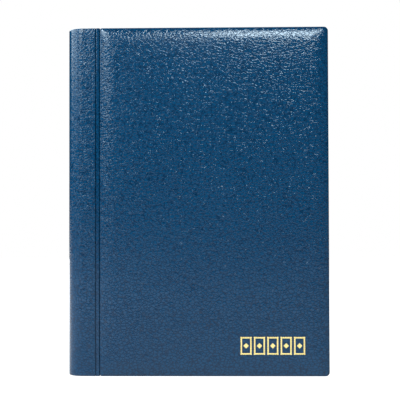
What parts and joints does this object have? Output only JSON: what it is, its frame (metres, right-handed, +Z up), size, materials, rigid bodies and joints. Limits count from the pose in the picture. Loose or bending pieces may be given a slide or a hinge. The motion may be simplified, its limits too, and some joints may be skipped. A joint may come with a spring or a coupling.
{
  "type": "stamp album",
  "caption": "Small padded blue album for postage stamps: two hinged covers on a round-backed spine, black leaves with clear strips and glassine interleaves.",
  "frame": {"origin": "middle of the closed album's footprint, on the surface that its tail edge stands on", "axes": "+X from the spine to the fore-edge, -Y out of the front cover, +Z up the page"},
  "size_m": [0.165, 0.0232, 0.22],
  "materials": {
    "cover_leatherette": "satin",
    "gold_foil": "gloss",
    "grey_board": "matte",
    "padding_foam": "matte",
    "pastedown_paper": "matte",
    "black_card": "matte",
    "black_linen": "matte",
    "clear_film": "gloss",
    "glassine": "satin",
    "steel_wire": "satin"
  },
  "bodies": {
    "spine": {"spine_skin": "cover_leatherette", "spine_card": "grey_board", "front_binding_strip": "grey_board", "back_binding_strip": "grey_board", "staples": "steel_wire", "stub_1": "black_card", "stub_2": "black_card", "stub_3": "black_card", "stub_4": "black_card", "stub_5": "black_card", "stub_6": "black_card", "stub_7": "black_card", "stub_8": "black_card"},
    "front_cover": {"front_cover_skin": "cover_leatherette", "front_cover_foam": "padding_foam", "front_cover_board": "grey_board", "front_pastedown": "pastedown_paper", "gold_ornament": "gold_foil"},
    "back_cover": {"back_cover_skin": "cover_leatherette", "back_cover_foam": "padding_foam", "back_cover_board": "grey_board", "back_pastedown": "pastedown_paper"},
    "leaf_1": {"leaf_1_card": "black_card", "leaf_1_linen": "black_linen", "leaf_1_strips": "clear_film"},
    "leaf_2": {"leaf_2_card": "black_card", "leaf_2_linen": "black_linen", "leaf_2_strips": "clear_film"},
    "leaf_3": {"leaf_3_card": "black_card", "leaf_3_linen": "black_linen", "leaf_3_strips": "clear_film"},
    "leaf_4": {"leaf_4_card": "black_card", "leaf_4_linen": "black_linen", "leaf_4_strips": "clear_film"},
    "leaf_5": {"leaf_5_card": "black_card", "leaf_5_linen": "black_linen", "leaf_5_strips": "clear_film"},
    "leaf_6": {"leaf_6_card": "black_card", "leaf_6_linen": "black_linen", "leaf_6_strips": "clear_film"},
    "leaf_7": {"leaf_7_card": "black_card", "leaf_7_linen": "black_linen", "leaf_7_strips": "clear_film"},
    "leaf_8": {"leaf_8_card": "black_card", "leaf_8_linen": "black_linen", "leaf_8_strips": "clear_film"},
    "interleaf_1": {"interleaf_1_sheet": "glassine"},
    "interleaf_2": {"interleaf_2_sheet": "glassine"},
    "interleaf_3": {"interleaf_3_sheet": "glassine"},
    "interleaf_4": {"interleaf_4_sheet": "glassine"},
    "interleaf_5": {"interleaf_5_sheet": "glassine"},
    "interleaf_6": {"interleaf_6_sheet": "glassine"},
    "interleaf_7": {"interleaf_7_sheet": "glassine"}
  },
  "joints": [
    {"name": "front_cover_hinge", "type": "hinge", "parent": "spine", "child": "front_cover", "pos_m": [-0.0633, -0.01095, 0], "axis": [0, 0, -1], "range_deg": [0, 178]},
    {"name": "back_cover_hinge", "type": "hinge", "parent": "spine", "child": "back_cover", "pos_m": [-0.0633, 0.01095, 0], "axis": [0, 0, 1], "range_deg": [0, 178]},
    {"name": "leaf_1_hinge", "type": "hinge", "parent": "spine", "child": "leaf_1", "pos_m": [-0.0606, -0.0056, 0], "axis": [0, 0, -1], "range_deg": [0, 103.24]},
    {"name": "leaf_2_hinge", "type": "hinge", "parent": "spine", "child": "leaf_2", "pos_m": [-0.05975, -0.004, 0], "axis": [0, 0, -1], "range_deg": [0, 89]},
    {"name": "leaf_3_hinge", "type": "hinge", "parent": "spine", "child": "leaf_3", "pos_m": [-0.0593, -0.0024, 0], "axis": [0, 0, -1], "range_deg": [0, 74.76]},
    {"name": "leaf_4_hinge", "type": "hinge", "parent": "spine", "child": "leaf_4", "pos_m": [-0.05915, -0.0008, 0], "axis": [0, 0, -1], "range_deg": [0, 60.52]},
    {"name": "leaf_5_hinge", "type": "hinge", "parent": "spine", "child": "leaf_5", "pos_m": [-0.05915, 0.0008, 0], "axis": [0, 0, 1], "range_deg": [0, 60.52]},
    {"name": "leaf_6_hinge", "type": "hinge", "parent": "spine", "child": "leaf_6", "pos_m": [-0.0593, 0.0024, 0], "axis": [0, 0, 1], "range_deg": [0, 74.76]},
    {"name": "leaf_7_hinge", "type": "hinge", "parent": "spine", "child": "leaf_7", "pos_m": [-0.05975, 0.004, 0], "axis": [0, 0, 1], "range_deg": [0, 89]},
    {"name": "leaf_8_hinge", "type": "hinge", "parent": "spine", "child": "leaf_8", "pos_m": [-0.0606, 0.0056, 0], "axis": [0, 0, 1], "range_deg": [0, 103.24]},
    {"name": "interleaf_1_hinge", "type": "hinge", "parent": "spine", "child": "interleaf_1", "pos_m": [-0.06015, -0.0048, 0], "axis": [0, 0, -1], "range_deg": [0, 96.12]},
    {"name": "interleaf_2_hinge", "type": "hinge", "parent": "spine", "child": "interleaf_2", "pos_m": [-0.05948, -0.0032, 0], "axis": [0, 0, -1], "range_deg": [0, 81.88]},
    {"name": "interleaf_3_hinge", "type": "hinge", "parent": "spine", "child": "interleaf_3", "pos_m": [-0.05923, -0.0016, 0], "axis": [0, 0, -1], "range_deg": [0, 67.64]},
    {"name": "interleaf_4_hinge", "type": "hinge", "parent": "spine", "child": "interleaf_4", "pos_m": [-0.05915, 0, 0], "axis": [0, 0, -1], "range_deg": [0, 30.26]},
    {"name": "interleaf_5_hinge", "type": "hinge", "parent": "spine", "child": "interleaf_5", "pos_m": [-0.05923, 0.0016, 0], "axis": [0, 0, 1], "range_deg": [0, 67.64]},
    {"name": "interleaf_6_hinge", "type": "hinge", "parent": "spine", "child": "interleaf_6", "pos_m": [-0.05948, 0.0032, 0], "axis": [0, 0, 1], "range_deg": [0, 81.88]},
    {"name": "interleaf_7_hinge", "type": "hinge", "parent": "spine", "child": "interleaf_7", "pos_m": [-0.06015, 0.0048, 0], "axis": [0, 0, 1], "range_deg": [0, 96.12]}
  ],
  "couplings": [
    {"joint": "leaf_1_hinge", "follows": "front_cover_hinge", "ratio": 0.58},
    {"joint": "leaf_2_hinge", "follows": "front_cover_hinge", "ratio": 0.5},
    {"joint": "leaf_3_hinge", "follows": "front_cover_hinge", "ratio": 0.42},
    {"joint": "leaf_4_hinge", "follows": "front_cover_hinge", "ratio": 0.34},
    {"joint": "leaf_5_hinge", "follows": "back_cover_hinge", "ratio": 0.34},
    {"joint": "leaf_6_hinge", "follows": "back_cover_hinge", "ratio": 0.42},
    {"joint": "leaf_7_hinge", "follows": "back_cover_hinge", "ratio": 0.5},
    {"joint": "leaf_8_hinge", "follows": "back_cover_hinge", "ratio": 0.58},
    {"joint": "interleaf_1_hinge", "follows": "front_cover_hinge", "ratio": 0.54},
    {"joint": "interleaf_2_hinge", "follows": "front_cover_hinge", "ratio": 0.46},
    {"joint": "interleaf_3_hinge", "follows": "front_cover_hinge", "ratio": 0.38},
    {"joint": "interleaf_4_hinge", "follows": "front_cover_hinge", "ratio": 0.17},
    {"joint": "interleaf_5_hinge", "follows": "back_cover_hinge", "ratio": 0.38},
    {"joint": "interleaf_6_hinge", "follows": "back_cover_hinge", "ratio": 0.46},
    {"joint": "interleaf_7_hinge", "follows": "back_cover_hinge", "ratio": 0.54}
  ]
}
